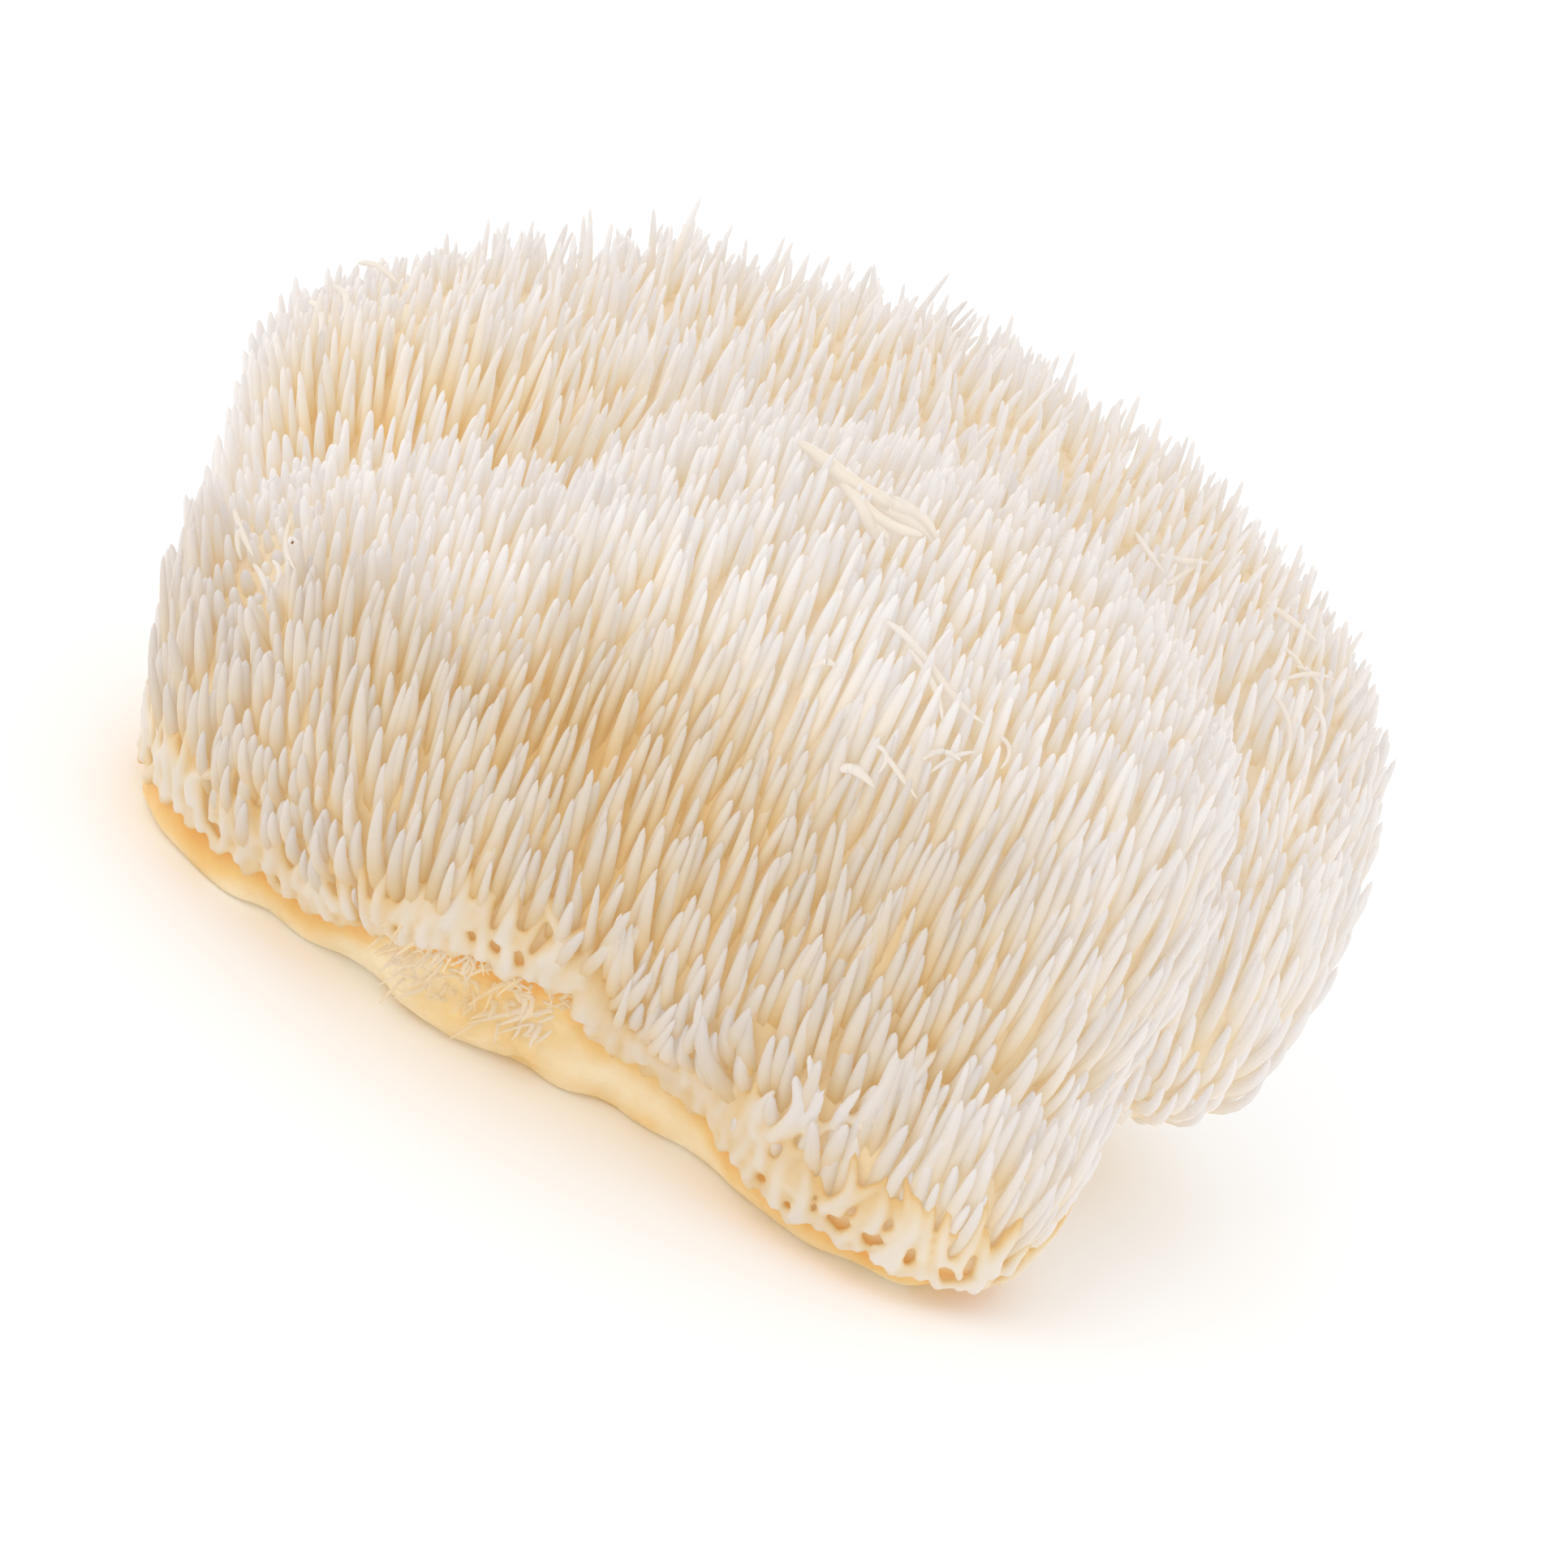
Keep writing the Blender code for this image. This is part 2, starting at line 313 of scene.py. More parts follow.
def tubes(paths, widths, sides=8):
    """Round closed tubes, one for each path of points, with a radius at every point."""
    along = unit(np.gradient(paths, axis=1))
    across = unit(np.cross(along, np.roll(UP, 1) + 0.3))
    other = np.cross(along, across)
    turn = np.linspace(0, 2 * math.pi, sides, endpoint=False)
    ring = across[:, :, None] * np.cos(turn)[:, None] + other[:, :, None] * np.sin(turn)[:, None]
    corners = paths[:, :, None] + ring * widths[:, :, None, None]
    count, rings = paths.shape[:2]
    numbers = np.arange(count * rings * sides).reshape(count, rings, sides)
    after = np.roll(numbers, -1, axis=2)
    quads = np.stack((numbers[:, :-1], after[:, :-1], after[:, 1:], numbers[:, 1:]), axis=-1).reshape(-1, 4)
    caps = list(numbers[:, 0, ::-1]) + list(numbers[:, -1])
    return corners.reshape(-1, 3), [*quads.tolist(), *(cap.tolist() for cap in caps)]


def joined(parts):
    """One list of corners and faces out of several."""
    corners, faces, start = [], [], 0
    for part_corners, part_faces in parts:
        corners.append(part_corners)
        faces += [[number + start for number in face] for face in part_faces]
        start += len(part_corners)
    return np.concatenate(corners), faces


def fused(name, corners, faces, cell):
    """One skin over overlapping tubes, with their joints rounded."""
    source = new_object(name, corners, faces)
    remesh = source.modifiers.new("skin", "REMESH")
    remesh.mode = "VOXEL"
    remesh.voxel_size = cell
    smooth = source.modifiers.new("soften", "SMOOTH")
    smooth.factor = 0.5
    smooth.iterations = 2
    graph = bpy.context.evaluated_depsgraph_get()
    mesh = bpy.data.meshes.new_from_object(source.evaluated_get(graph), depsgraph=graph)
    bpy.data.objects.remove(source)
    mesh.name = name
    piece = bpy.data.objects.new(name, mesh)
    bpy.context.scene.collection.objects.link(piece)
    return piece


def corner_places(mesh):
    places = np.empty(len(mesh.vertices) * 3)
    mesh.vertices.foreach_get("co", places)
    return places.reshape(-1, 3)


def finish_piece(piece, material):
    """Gives a piece its material and ties it to the frame."""
    if not piece.data.materials:
        piece.data.materials.append(material)
    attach(piece, "root")
    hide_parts(NODE)
    return piece


# Materials


def spine_material(colours):
    """Fresh fungal tissue, grown: satin and a little translucent. The gaps' warm glow is painted: orange colour toward
    the roots, and an emission that lights the spines evenly.
    """
    material = bpy.data.materials.new("fresh_fungal_spines")
    material.use_nodes = True
    tree = material.node_tree
    shader = tree.nodes["Principled BSDF"]
    along = add(tree, "ShaderNodeAttribute", attribute_name="along")
    warmth = add(tree, "ShaderNodeAttribute", attribute_name="warmth")
    tone = add(tree, "ShaderNodeAttribute", attribute_name="tone")
    shade = add(tree, "ShaderNodeAttribute", attribute_name="shade")
    # Warmer flesh stays orange farther up the spine, so the painted glow and shade reach higher
    height = add(
        tree,
        "ShaderNodeMath",
        {0: warmth.outputs["Fac"], 1: -0.4, 2: along.outputs["Fac"]},
        operation="MULTIPLY_ADD",
    )
    # Orange at the root to pale at the tip: the spine's own colour, with painted shade and glow that deepen toward the
    # roots in the gaps
    ramp = add(tree, "ShaderNodeValToRGB", {"Fac": height})
    ramp_stops(
        ramp,
        (
            (0.0, linear(colours.root)),
            (0.25, linear(colours.low)),
            (0.52, linear(colours.middle)),
            (0.92, linear(colours.tip)),
        ),
    )
    # Each spine a little paler or darker than its neighbours, and painted shade on the low front, which faces away from
    # the light
    value = add(tree, "ShaderNodeMath", {0: tone.outputs["Fac"], 1: 0.04, 2: 1.0}, operation="MULTIPLY_ADD")
    tinted = add(tree, "ShaderNodeHueSaturation", {"Color": ramp, "Value": value})
    tinted = add(
        tree,
        "ShaderNodeMix",
        {"Factor": shade.outputs["Fac"], "A": tinted, "B": (*linear(colours.shadow), 1)},
        data_type="RGBA",
        blend_type="MULTIPLY",
    ).outputs["Result"]
    # Half of the light comes off the surface. The other half is a painted glow: the colour is emitted, standing in for
    # light that has soaked in, and it leaves evenly on all sides
    surface = add(tree, "ShaderNodeVectorMath", {0: tinted, "Scale": 0.47}, operation="SCALE")
    tree.links.new(surface.outputs["Vector"], shader.inputs["Base Color"])
    tree.links.new(tinted, shader.inputs["Emission Color"])
    # Painted glow, a little stronger toward the roots
    deep = add(tree, "ShaderNodeMapRange", {"Value": height, "From Min": -0.1, "From Max": 0.9, "To Min": 0.5, "To Max": 0.46})
    tree.links.new(deep.outputs["Result"], shader.inputs["Emission Strength"])
    material.cycles.emission_sampling = "NONE"
    shader.inputs["Roughness"].default_value = 0.48
    shader.inputs["IOR"].default_value = 1.4
    shader.inputs["Subsurface Weight"].default_value = 0.1
    shader.inputs["Subsurface Radius"].default_value = (1.0, 0.85, 0.7)
    shader.inputs["Subsurface Scale"].default_value = 0.0008
    return material


def skin_material(colours):
    """Moist mushroom flesh, torn and waxy: yellower than the spines, light shines through its edges, and a painted glow
    from its own emission lights it evenly.
    """
    material = bpy.data.materials.new("moist_fungal_flesh")
    material.use_nodes = True
    tree = material.node_tree
    shader = tree.nodes["Principled BSDF"]
    place = add(tree, "ShaderNodeTexCoord")
    # Paler and warmer clouds, 12 mm across, and deep orange painted shade where the flesh goes in under the fringe
    cloud = add(tree, "ShaderNodeTexNoise", {"Vector": place.outputs["Object"], "Scale": 85.0, "Detail": 4.0})
    under = add(tree, "ShaderNodeAttribute", attribute_name="under")
    pale = add(tree, "ShaderNodeMath", {0: under.outputs["Fac"], 1: -0.6, 2: cloud.outputs["Fac"]}, operation="MULTIPLY_ADD")
    ramp = add(tree, "ShaderNodeValToRGB", {"Fac": pale})
    ramp_stops(ramp, ((0.0, linear(colours.deep)), (0.35, linear(colours.flesh)), (0.65, linear(colours.skin))))
    # Where the flesh is the spines' mat, it takes their root colours: the painted glow and shade of the gaps between
    # spines
    mat = add(tree, "ShaderNodeAttribute", attribute_name="mat")
    warmth = add(tree, "ShaderNodeAttribute", attribute_name="warmth")
    gap = add(tree, "ShaderNodeValToRGB", {"Fac": warmth.outputs["Fac"]})
    ramp_stops(gap, ((0.0, linear(colours.middle)), (0.5, linear(colours.low)), (1.0, linear(colours.root))))
    mixed = add(
        tree,
        "ShaderNodeMix",
        {"Factor": mat.outputs["Fac"], "A": ramp.outputs[0], "B": gap.outputs[0]},
        data_type="RGBA",
    )
    # Pores and creases, 1.5 mm and finer
    pores = add(tree, "ShaderNodeTexNoise", {"Vector": place.outputs["Object"], "Scale": 650.0, "Detail": 4.0})
    bump = add(tree, "ShaderNodeBump", {"Height": pores.outputs["Fac"], "Strength": 0.35, "Distance": 0.0004})
    tree.links.new(bump.outputs["Normal"], shader.inputs["Normal"])
    # Part of the colour is lit as a surface, and part is a painted glow from emission
    surface = add(tree, "ShaderNodeVectorMath", {0: mixed.outputs["Result"], "Scale": 0.65}, operation="SCALE")
    tree.links.new(surface.outputs["Vector"], shader.inputs["Base Color"])
    tree.links.new(mixed.outputs["Result"], shader.inputs["Emission Color"])
    shader.inputs["Emission Strength"].default_value = 0.3
    material.cycles.emission_sampling = "NONE"
    shader.inputs["Roughness"].default_value = 0.36
    shader.inputs["IOR"].default_value = 1.4
    shader.inputs["Subsurface Weight"].default_value = 0.4
    shader.inputs["Subsurface Radius"].default_value = (1.0, 0.8, 0.55)
    shader.inputs["Subsurface Scale"].default_value = 0.0015
    return material


def speck_material(colours):
    """Dried fungal matter: dark brown and dull, mottled at half its size."""
    material = bpy.data.materials.new("dried_fungal_matter")
    material.use_nodes = True
    tree = material.node_tree
    place = add(tree, "ShaderNodeTexCoord")
    cloud = add(tree, "ShaderNodeTexNoise", {"Vector": place.outputs["Object"], "Scale": 6000.0})
    ramp = add(tree, "ShaderNodeValToRGB", {"Fac": cloud.outputs["Fac"]})
    ramp_stops(ramp, ((0.3, linear(colours.speck)), (0.7, tuple(2 * c for c in linear(colours.speck)))))
    shader = tree.nodes["Principled BSDF"]
    tree.links.new(ramp.outputs[0], shader.inputs["Base Color"])
    shader.inputs["Roughness"].default_value = 0.7
    return material


def floor_material(colours):
    """Matte seamless paper: a plain pale ground with a faint tooth."""
    material = bpy.data.materials.new("matte_white_paper")
    material.use_nodes = True
    tree = material.node_tree
    shader = tree.nodes["Principled BSDF"]
    place = add(tree, "ShaderNodeTexCoord")
    tooth = add(tree, "ShaderNodeTexNoise", {"Vector": place.outputs["Object"], "Scale": 900.0})
    bump = add(tree, "ShaderNodeBump", {"Height": tooth.outputs["Fac"], "Strength": 0.05, "Distance": 0.0001})
    tree.links.new(bump.outputs["Normal"], shader.inputs["Normal"])
    shader.inputs["Base Color"].default_value = (*linear(colours.floor), 1)
    shader.inputs["Roughness"].default_value = 0.9
    return material


# Settings that a user would change


class MushroomSizes(bpy.types.PropertyGroup):
    spine_spacing: bpy.props.FloatProperty(
        name="Spine spacing", description="Least distance between two spines", default=2.05 * MM, unit="LENGTH"
    )
    spine_spacing_top: bpy.props.FloatProperty(
        name="Spine spacing on top", description="Least distance on top", default=1.58 * MM, unit="LENGTH"
    )
    spine_radius: bpy.props.FloatProperty(
        name="Spine radius", description="Half a spine's thickness at its root", default=1.1 * MM, unit="LENGTH"
    )
    spine_length: bpy.props.FloatProperty(
        name="Spine length", description="Length of a spine on the flank", default=15.5 * MM, unit="LENGTH"
    )
    spine_length_top: bpy.props.FloatProperty(
        name="Spine length on top", description="Length of a spine on top", default=9.3 * MM, unit="LENGTH"
    )
    spine_length_foot: bpy.props.FloatProperty(
        name="Spine length at the fringe", description="Length of the lowest spines", default=15.5 * MM, unit="LENGTH"
    )
    spine_rings: bpy.props.IntProperty(name="Rings", description="Rings of corners along a spine", default=8)
    spine_sides: bpy.props.IntProperty(name="Sides", description="Corners round a spine", default=6)
    flesh_cell: bpy.props.FloatProperty(
        name="Flesh facet", description="Size of the flesh's facets", default=1.25 * MM, unit="LENGTH"
    )
    seed: bpy.props.IntProperty(name="Seed", description="Which random spines grow", default=7)


class MushroomColours(bpy.types.PropertyGroup):
    # A spine's colours from tip to root; toward the root they carry the painted shade and glow of the gaps
    tip: bpy.props.StringProperty(name="Tip", description="sRGB hex colour of a spine's tip", default="#F3EDE9")
    middle: bpy.props.StringProperty(name="Middle", description="sRGB hex colour at mid spine", default="#F2E5D2")
    low: bpy.props.StringProperty(name="Low", description="sRGB hex colour above the root", default="#EFD6AC")
    root: bpy.props.StringProperty(name="Root", description="sRGB hex colour of a spine's root", default="#EAC384")
    # Painted shade under the fringe
    deep: bpy.props.StringProperty(name="Deep", description="sRGB hex colour under the fringe", default="#EDAE58")
    flesh: bpy.props.StringProperty(name="Flesh", description="sRGB hex colour of torn flesh", default="#F2CC87")
    skin: bpy.props.StringProperty(name="Skin", description="sRGB hex colour of smooth skin", default="#FAE9C6")
    # Painted shade: the low front is multiplied by this tint, as if it faced away from the light
    shadow: bpy.props.StringProperty(name="Shadow", description="sRGB hex tint of the front", default="#ECE8E4")
    speck: bpy.props.StringProperty(name="Speck", description="sRGB hex colour of dried specks", default="#6B4A2E")
    floor: bpy.props.StringProperty(name="Floor", description="sRGB hex colour of the floor", default="#F7F7F7")


# Pieces


def back_wall(points, normals):
    """1 on the back lobe's wall that faces the valley, where the spines hang long and loose."""
    back = group_distance(points, BACK_LOBES) < group_distance(points, FRONT_LOBES)
    facing = smoothstep(0.25, 0.6, -normals[:, 1]) * smoothstep(35 * MM, 15 * MM, points[:, 0])
    in_valley = smoothstep(-12 * MM, -4 * MM, points[:, 1]) * smoothstep(28 * MM, 38 * MM, points[:, 2])
    return back * facing * in_valley * smoothstep(70 * MM, 56 * MM, points[:, 2])


def warmth_of(points, normals):
    """How orange the flesh is painted: random clouds of its own tone, plus painted shade and glow most in the middle of
    the front and on the back lobe's wall, and painted light that pales the top and back.
    """
    heart = np.exp(-(((points - WARM_HEART) / WARM_SIZE) ** 2).sum(axis=1))
    clouds = 0.25 * waves(points, 24 * MM, 17) + 0.2 * waves(points, 9 * MM, 19)
    # Painted light: away from the low front's shade, the top and back are paler
    pale = 1 - front_shade(points, normals)
    return np.clip(0.2 + clouds + 0.6 * heart + 0.75 * back_wall(points, normals) - 0.6 * pale, -0.9, 0.9)


def front_shade(points, normals):
    """1 low on the front, which faces away from most of the light, and 0 on top and behind."""
    facing = smoothstep(-0.2, 0.6, -normals[:, 1]) * smoothstep(0.8, 0.2, normals[:, 2])
    low = smoothstep(66 * MM, 46 * MM, points[:, 2]) * (1 - 0.6 * smoothstep(30 * MM, 48 * MM, points[:, 0]))
    return facing * low * smoothstep(5 * MM, -15 * MM, points[:, 1])


def spine_lengths(points, normals, sizes):
    """Longest on the flanks, shorter on top, at the fringe and in the valley."""
    rise = np.clip((points[:, 2] - 5 * MM) / (30 * MM), 0, 1)
    top = smoothstep(0, 0.7, normals[:, 2])
    flank = sizes.spine_length_foot + (sizes.spine_length - sizes.spine_length_foot) * rise
    length = flank + (sizes.spine_length_top - flank) * top
    wall = back_wall(points, normals)
    low = 0.75 * smoothstep(40 * MM, 25 * MM, points[:, 2])
    room = np.maximum(np.clip(valley_room(points) / (14 * MM), 0.4, 1), np.maximum(wall, low))
    length = length * room + 4 * MM * wall
    right = smoothstep(5 * MM, 30 * MM, points[:, 0])
    corner = smoothstep(-52 * MM, -68 * MM, points[:, 0]) * smoothstep(22 * MM, 38 * MM, points[:, 2])
    length = length - 1.4 * MM * top * right - 5 * MM * corner
    return np.minimum(length, room_below_crease(points, normals))


def room_below_crease(points, normals):
    """How long spines of the low lobe may be, so they end under the overhanging fringe."""
    across, up = np.array(CREASE).T * MM
    below = np.interp(points[:, 0], across, up) - points[:, 2]
    under = (below > 0) & (normals[:, 1] < -0.2) & (points[:, 0] > across[0]) & (points[:, 0] < across[-1])
    return np.where(under, 3 * MM + 1.1 * below, 1)


def spine_directions(points, normals):
    """Nearly straight up everywhere, as all hung straight down when they grew."""
    across = points[:, 0] / (60 * MM)
    tilt = np.stack([-0.06 - 0.12 * across**2, np.full(len(points), -0.03), np.zeros(len(points))], axis=1)
    height = points[:, 2]
    belt = smoothstep(15 * MM, 32 * MM, height) * smoothstep(56 * MM, 42 * MM, height)
    out = 0.08 + 0.2 * smoothstep(-42 * MM, -60 * MM, points[:, 0]) * belt
    return unit(UP + tilt + out[:, None] * normals * (1, 1, 0))


def spine_lifts(points, normals, directions, lengths):
    """How far each spine first bends out, as a share of its length, to clear the flesh above its root."""
    lift = np.full(len(points), 0.06)
    for _ in range(16):
        blocked = np.zeros(len(points), dtype=bool)
        for along in (0.3, 0.6, 1.0):
            early = 1 - (1 - along) ** 2
            share = directions * along + normals * (lift * early)[:, None]
            blocked |= mat_distance(points + share * lengths[:, None]) < 3.2 * MM * along
        lift = np.where(blocked, lift + 0.04, lift)
    return lift


def spine_tree():
    """Grows one tapered, bent spine on each scattered point of the flesh."""
    tree = bpy.data.node_groups.new("mushroom_spines", "GeometryNodeTree")
    tree.is_modifier = True
    face = tree.interface
    face.new_socket("Geometry", in_out="INPUT", socket_type="NodeSocketGeometry")
    face.new_socket("Patch", in_out="INPUT", socket_type="NodeSocketInt")
    face.new_socket("Spacing", in_out="INPUT", socket_type="NodeSocketFloat")
    face.new_socket("Top Spacing", in_out="INPUT", socket_type="NodeSocketFloat")
    face.new_socket("Rings", in_out="INPUT", socket_type="NodeSocketInt")
    face.new_socket("Sides", in_out="INPUT", socket_type="NodeSocketInt")
    face.new_socket("Seed", in_out="INPUT", socket_type="NodeSocketInt")
    face.new_socket("Material", in_out="INPUT", socket_type="NodeSocketMaterial")
    face.new_socket("Geometry", in_out="OUTPUT", socket_type="NodeSocketGeometry")
    given = add(tree, "NodeGroupInput").outputs

    def named(name, kind="FLOAT"):
        return add(tree, "GeometryNodeInputNamedAttribute", {"Name": name}, data_type=kind).outputs["Attribute"]

    def maths(operation, *values):
        return add(tree, "ShaderNodeMath", dict(enumerate(values)), operation=operation).outputs[0]

    def vectors(operation, *values):
        node = add(tree, "ShaderNodeVectorMath", dict(enumerate(values)), operation=operation)
        return node.outputs["Vector"]

    def scaled(vector, factor):
        node = add(tree, "ShaderNodeVectorMath", {0: vector, "Scale": factor}, operation="SCALE")
        return node.outputs["Vector"]

    def kept(geometry, name, value, kind="FLOAT"):
        inputs = {"Geometry": geometry, "Name": name, "Value": value}
        return add(tree, "GeometryNodeStoreNamedAttribute", inputs, data_type=kind, domain="POINT").outputs[0]

    def random_between(low, high, seed, kind="FLOAT"):
        slots = {"FLOAT": (2, 3, 1), "FLOAT_VECTOR": (0, 1, 0)}[kind]
        seed = maths("ADD", given["Seed"], float(seed))
        node = add(tree, "FunctionNodeRandomValue", {slots[0]: low, slots[1]: high, "Seed": seed}, data_type=kind)
        return node.outputs[slots[2]]

    def scattered(spacing, share):
        inputs = {
            "Mesh": given["Geometry"],
            "Distance Min": given[spacing],
            "Density Max": 600000.0,
            "Density Factor": named(share),
            "Seed": given["Seed"],
        }
        scatter = add(tree, "GeometryNodeDistributePointsOnFaces", inputs, distribute_method="POISSON")
        return kept(scatter.outputs["Points"], "normal", scatter.outputs["Normal"], "FLOAT_VECTOR")

    # Roots, kept apart from one another, and only this patch's
    points = add(tree, "GeometryNodeJoinGeometry")
    for spacing, share in (("Top Spacing", "top_share"), ("Spacing", "flank_share")):
        tree.links.new(scattered(spacing, share), points.inputs[0])
    elsewhere = add(
        tree,
        "FunctionNodeCompare",
        {2: named("patch", "INT"), 3: given["Patch"]},
        data_type="INT",
        operation="NOT_EQUAL",
    )
    points = kept(points, "root", add(tree, "GeometryNodeInputPosition").outputs[0], "FLOAT_VECTOR")
    points = kept(points, "tone", random_between(-1.0, 1.0, 11))
    points = kept(points, "stretch", random_between(0.62, 1.1, 12))
    points = kept(points, "girth", random_between(0.78, 1.25, 13))
    lean = random_between((-1.0, -1.0, -1.0), (1.0, 1.0, 1.0), 14, "FLOAT_VECTOR")
    points = kept(points, "sway", lean, "FLOAT_VECTOR")
    points = add(tree, "GeometryNodeDeleteGeometry", {"Geometry": points, "Selection": elsewhere.outputs[0]})

    # One straight line of corners on each root
    line = add(tree, "GeometryNodeCurvePrimitiveLine")
    line = add(tree, "GeometryNodeResampleCurve", {"Curve": line, "Count": given["Rings"]}, mode="COUNT")
    lines = add(tree, "GeometryNodeInstanceOnPoints", {"Points": points, "Instance": line})
    lines = add(tree, "GeometryNodeRealizeInstances", {"Geometry": lines})

    # Corners crowd toward the tip, so it rounds off
    factor = add(tree, "GeometryNodeSplineParameter").outputs["Factor"]
    along = maths("SUBTRACT", 1.0, maths("POWER", maths("SUBTRACT", 1.0, factor), 1.5))
    lines = kept(lines, "along", along)
    along = named("along")

    # Out along the flesh's normal, then round into the spine's own direction, with a slight sway
    length = maths("MULTIPLY", named("length"), named("stretch"))
    early = maths("SUBTRACT", 1.0, maths("POWER", maths("SUBTRACT", 1.0, along), 2.0))
    sway = scaled(named("sway", "FLOAT_VECTOR"), maths("MULTIPLY", named("mess"), maths("POWER", along, 1.6)))
    reach = vectors("ADD", scaled(named("direction", "FLOAT_VECTOR"), along), sway)
    lift = scaled(named("normal", "FLOAT_VECTOR"), maths("MULTIPLY", early, named("lift")))
    offset = scaled(vectors("ADD", reach, lift), length)
    sunk = scaled(named("normal", "FLOAT_VECTOR"), maths("MULTIPLY", named("thickness"), -1.2))
    place = vectors("ADD", vectors("ADD", named("root", "FLOAT_VECTOR"), sunk), offset)
    lines = add(tree, "GeometryNodeSetPosition", {"Geometry": lines, "Position": place})

    # Wide at the root, slim along the spine, round at the tip
    profile = add(tree, "ShaderNodeFloatCurve", {"Value": along})
    points_of_curve = profile.mapping.curves[0].points
    shape = ((0.0, 1.0), (0.3, 0.84), (0.6, 0.68), (0.8, 0.53), (0.92, 0.38), (0.98, 0.24), (1.0, 0.06))
    for number, (where, width) in enumerate(shape):
        if number == 0 or number == len(shape) - 1:
            points_of_curve[-1 if number else 0].location = (where, width)
    for where, width in shape[1:-1]:
        points_of_curve.new(where, width)
    profile.mapping.update()
    radius = maths("MULTIPLY", maths("MULTIPLY", named("thickness"), named("girth")), profile.outputs[0])
    circle = add(tree, "GeometryNodeCurvePrimitiveCircle", {"Resolution": given["Sides"], "Radius": 1.0})
    spines = add(
        tree,
        "GeometryNodeCurveToMesh",
        {"Curve": lines, "Profile Curve": circle, "Scale": radius, "Fill Caps": True},
    )
    spines = add(tree, "GeometryNodeSetShadeSmooth", {"Geometry": spines})
    spines = add(tree, "GeometryNodeRealizeInstances", {"Geometry": spines})
    spines = add(tree, "GeometryNodeSetMaterial", {"Geometry": spines, "Material": given["Material"]})
    add(tree, "NodeGroupOutput", {0: spines})
    return tree


def grown(source, tree, name, settings):
    """A plain mesh of what a node tree makes from a source object."""
    modifier = source.modifiers.new(name, "NODES")
    modifier.node_group = tree
    for item in tree.interface.items_tree:
        if item.in_out == "INPUT" and item.name in settings:
            modifier[item.identifier] = settings[item.name]
    source.update_tag()
    graph = bpy.context.evaluated_depsgraph_get()
    mesh = bpy.data.meshes.new_from_object(source.evaluated_get(graph), depsgraph=graph)
    source.modifiers.remove(modifier)
    mesh.name = name
    piece = bpy.data.objects.new(name, mesh)
    bpy.context.scene.collection.objects.link(piece)
    return piece


def patches(points):
    """Which patch of spines each point is in: two on the front lobes and three on the back ones."""
    front = group_distance(points, FRONT_LOBES) < group_distance(points, BACK_LOBES)
    x = points[:, 0] / MM
    return np.where(front, np.where(x < 2, 0, 1), np.where(x < -22, 2, np.where(x < 22, 3, 4)))


PATCH_NAMES = ("spines_front_left", "spines_front_right", "spines_back_left", "spines_back_middle", "spines_back_right")


def root_mesh(sizes):
    """The flesh that spines stand on, with each corner's spine described in attributes."""
    corners, quads = surface_net(mat_distance, ROOM[0], ROOM[1], 2.4 * MM)
    base = new_object("spine_roots", corners, quads)
    normals = outward(corners)
    lengths = spine_lengths(corners, normals, sizes)
    directions = spine_directions(corners, normals)
    comb = wave_vectors(corners, 16 * MM, 1) * 0.08 + wave_vectors(corners, 5 * MM, 5) * 0.05
    directions = unit(directions + comb)
    back = smoothstep(-4 * MM, 6 * MM, corners[:, 1])
    top = np.clip(normals[:, 2], 0, 1)
    fine = back * top
    above = corners[:, 2] - fringe_height(corners[:, 0], corners[:, 1])
    mesh = base.data
    store(mesh, "direction", directions, "FLOAT_VECTOR")
    store(mesh, "length", lengths * (1 + 0.10 * waves(corners, 9 * MM, 9)))
    wall = back_wall(corners, normals)
    low = front_shade(corners, normals) * smoothstep(35 * MM, 20 * MM, corners[:, 2]) * smoothstep(0, 8 * MM, corners[:, 0])
    top_share = np.maximum(smoothstep(0.3, 0.6, normals[:, 2]), 0.9 * wall)
    flank_share = smoothstep(0.85, 0.55, normals[:, 2]) * (1 - 0.7 * wall) * (1 - 0.15 * low)
    store(mesh, "thickness", sizes.spine_radius * (1 - 0.2 * top - 0.25 * fine + 0.18 * low))
    store(mesh, "top_share", np.where(above > 1 * MM, top_share, 0))
    store(mesh, "flank_share", np.where(above > 1 * MM, flank_share, 0))
    store(mesh, "mess", 0.05 + 0.10 * smoothstep(0.0, 0.5, waves(corners, 22 * MM, 13)) + fine * (0.1 + 0.2 * smoothstep(0, 0.4, waves(corners, 15 * MM, 23))))
    store(mesh, "lift", spine_lifts(corners, normals, directions, lengths))
    # Painted glow and shade of the gaps, and painted shade on the low front
    store(mesh, "warmth", warmth_of(corners, normals))
    store(mesh, "shade", front_shade(corners, normals))
    middles = corners[quads].mean(axis=1)
    store(mesh, "patch", patches(middles), "INT", "FACE")
    return base


class MUSHROOM_OT_spines(bpy.types.Operator):
    """Grow the spines of every patch over the flesh"""

    bl_idname = "mushroom.spines"
    bl_label = "Spines"

    def execute(self, context):
        sizes = context.scene.mushroom_sizes
        material = spine_material(context.scene.mushroom_colours)
        base = root_mesh(sizes)
        tree = spine_tree()
        for number, name in enumerate(PATCH_NAMES):
            settings = {
                "Patch": number,
                "Spacing": sizes.spine_spacing,
                "Top Spacing": sizes.spine_spacing_top,
                "Rings": sizes.spine_rings,
                "Sides": sizes.spine_sides,
                "Seed": sizes.seed,
                "Material": material,
            }
            piece = grown(base, tree, name, settings)
            finish_piece(piece, material)
            piece.data.calc_loop_triangles()
            print(name, len(piece.data.loop_triangles))
        bpy.data.objects.remove(base)
        return {"FINISHED"}


